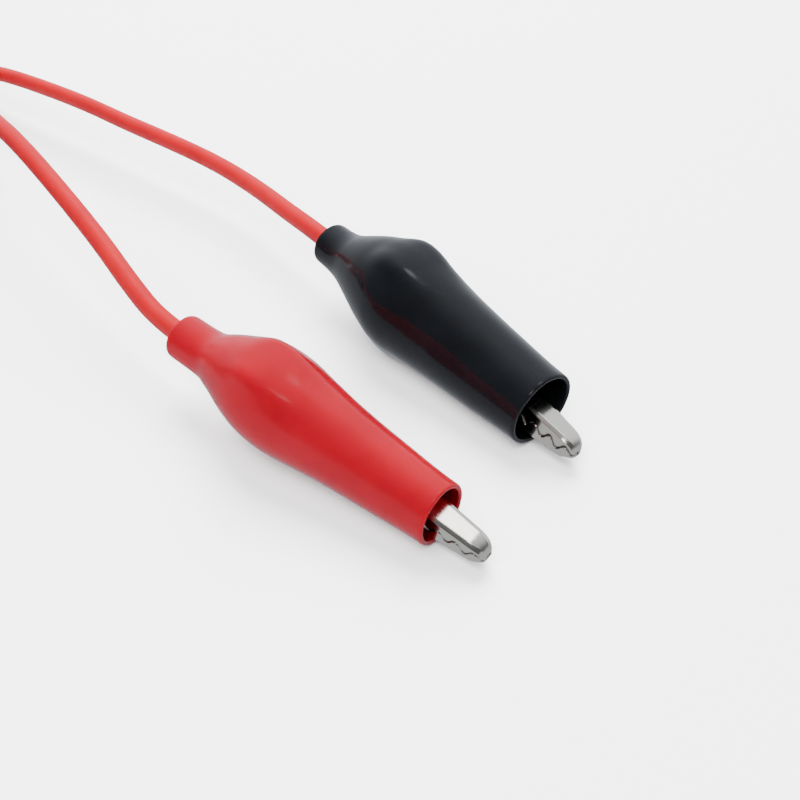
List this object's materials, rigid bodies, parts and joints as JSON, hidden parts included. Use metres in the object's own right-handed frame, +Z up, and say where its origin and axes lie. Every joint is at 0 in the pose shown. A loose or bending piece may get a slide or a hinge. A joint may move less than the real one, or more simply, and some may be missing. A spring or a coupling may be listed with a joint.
{
  "type": "pair of crocodile clip test leads",
  "caption": "Test leads with sprung toothed clips in soft vinyl boots, red and black, on thin insulated wires that end in banana plugs.",
  "frame": {"origin": "on the table, below the middle of the two clips", "axes": "+Z up, the jaws point towards -Y, the wires leave towards +Y, the red clip is on the -X side"},
  "size_m": [0.0528, 0.1389, 0.0146],
  "materials": {
    "red_vinyl": "glossy dipped PVC",
    "black_vinyl": "glossy dipped PVC",
    "nickel_steel": "nickel-plated stamped steel",
    "spring_steel": "drawn spring wire",
    "red_insulation": "semi-matt extruded PVC",
    "tinned_copper": "stranded, soldered",
    "solder": "tin alloy, smooth",
    "paper_tie": "plastic-coated wire tie",
    "nickel_brass": "nickel-plated turned brass",
    "red_plug_plastic": "moulded nylon",
    "black_plug_plastic": "moulded nylon"
  },
  "bodies": {
    "root": {"red_boot": "red_vinyl", "red_lower_jaw": "nickel_steel", "red_pivot_rivet": "nickel_steel", "red_torsion_spring": "spring_steel", "red_wire_end": "red_insulation", "red_conductor_end": "tinned_copper", "red_solder_joint": "solder", "red_wire": "red_insulation", "red_wire_tail": "red_insulation", "red_wire_coil": "red_insulation", "red_plug_wire_end": "red_insulation", "red_plug_pin": "nickel_brass", "red_plug_housing": "red_plug_plastic", "red_plug_grub_screw": "spring_steel", "red_plug_strain_relief": "red_vinyl", "black_boot": "black_vinyl", "black_lower_jaw": "nickel_steel", "black_pivot_rivet": "nickel_steel", "black_torsion_spring": "spring_steel", "black_wire_end": "red_insulation", "black_conductor_end": "tinned_copper", "black_solder_joint": "solder", "black_wire": "red_insulation", "black_wire_tail": "red_insulation", "black_wire_coil": "red_insulation", "black_plug_wire_end": "red_insulation", "black_plug_pin": "nickel_brass", "black_plug_housing": "black_plug_plastic", "black_plug_grub_screw": "spring_steel", "black_plug_strain_relief": "black_vinyl", "coil_tie": "paper_tie"},
    "red_upper_jaw": {"red_upper_jaw": "nickel_steel"},
    "black_upper_jaw": {"black_upper_jaw": "nickel_steel"}
  },
  "joints": [
    {"name": "red_jaw_pivot", "type": "hinge", "parent": "root", "child": "red_upper_jaw", "pos_m": [-0.00906, -0.00204, 0.0041], "axis": [-0.9839, -0.0449, -0.1728], "range_deg": [0, 24], "stiffness_Nm_per_rad": 0.1, "springref_deg": -28.65, "deforming": ["red_boot", "red_torsion_spring"]},
    {"name": "black_jaw_pivot", "type": "hinge", "parent": "root", "child": "black_upper_jaw", "pos_m": [0.00814, -0.00023, 0.00433], "axis": [-0.9939, 0.0975, 0.0521], "range_deg": [0, 24], "stiffness_Nm_per_rad": 0.1, "springref_deg": -28.65, "deforming": ["black_boot", "black_torsion_spring"]}
  ]
}
